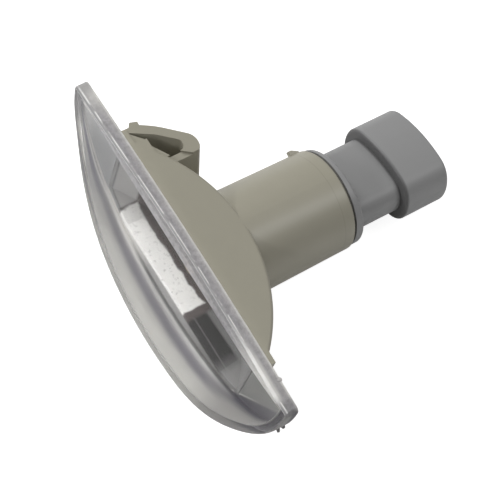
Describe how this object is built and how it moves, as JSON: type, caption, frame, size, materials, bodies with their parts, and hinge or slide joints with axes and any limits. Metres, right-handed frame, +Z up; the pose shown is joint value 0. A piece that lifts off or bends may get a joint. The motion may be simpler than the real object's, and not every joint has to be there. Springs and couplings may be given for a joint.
{
  "type": "side repeater lamp",
  "caption": "Side repeater lamp with a clear leaf-shaped crowned lens, a moulded bulb housing with spring clip and hook, and a bayonet bulb holder with an oval connector.",
  "frame": {"origin": "on the bulb tube axis, in the back plane of the lens rim, where the lamp seats on the outside of the body panel", "axes": "+X along the lens towards its broad end, +Y back along the bulb tube through the panel, +Z up to the nearly straight edge of the lens"},
  "size_m": [0.1011, 0.0877, 0.0378],
  "materials": {
    "lens": "clear moulded plastic, fine haze on the skirt",
    "housing": "warm grey moulded plastic, satin",
    "reflector": "bright metallised, slightly hazy",
    "holder": "mid grey moulded plastic, satin",
    "seal": "matte black rubber",
    "bulb": "amber coated glass",
    "wire": "plain drawn wire",
    "contact": "tinned brass sheet"
  },
  "bodies": {
    "root": {"lens": "lens", "housing": "housing", "reflector": "reflector", "bulb_holder": "holder", "holder_seal": "seal", "bulb_glass": "bulb", "bulb_filament": "wire", "bulb_lead_left": "wire", "bulb_lead_right": "wire", "contact_left": "contact", "contact_right": "contact"}
  },
  "joints": []
}
